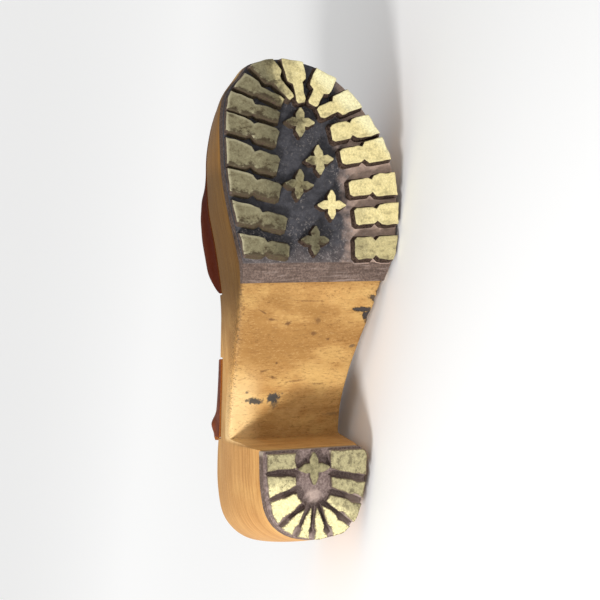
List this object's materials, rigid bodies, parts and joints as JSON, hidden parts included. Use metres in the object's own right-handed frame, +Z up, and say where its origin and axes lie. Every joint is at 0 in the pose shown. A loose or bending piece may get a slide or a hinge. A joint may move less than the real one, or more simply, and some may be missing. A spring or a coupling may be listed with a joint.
{
  "type": "mary jane clog",
  "caption": "Left mary jane clog lying on its outer side: carved wooden platform with block heel, lugged rubber soles, closed leather toe and a buckled instep strap.",
  "frame": {"origin": "middle of the underside of the box that the lying shoe fills, on the floor", "axes": "+X from heel to toe, +Y out of the footbed (the treads face -Y), +Z up from the floor through the shoe's inner side"},
  "size_m": [0.249, 0.1358, 0.099],
  "materials": {
    "wood_sole": "oiled alder, satin, worn",
    "forefoot_rubber": "matte, dusty, lug faces worn pale",
    "heel_rubber": "matte, dusty, lug faces worn pale",
    "vamp": "smooth cognac leather, satin",
    "instep_strap": "smooth cognac leather, raw edges",
    "lateral_tab": "smooth cognac leather, raw edges",
    "buckle_frame": "antique brass, brushed",
    "buckle_prong": "antique brass, brushed",
    "strap_keeper": "smooth cognac leather"
  },
  "bodies": {
    "root": {"wood_sole": "wood_sole", "forefoot_rubber": "forefoot_rubber", "heel_rubber": "heel_rubber", "vamp": "vamp", "instep_strap": "instep_strap", "lateral_tab": "lateral_tab", "buckle_frame": "buckle_frame", "buckle_prong": "buckle_prong", "strap_keeper": "strap_keeper"}
  },
  "joints": []
}
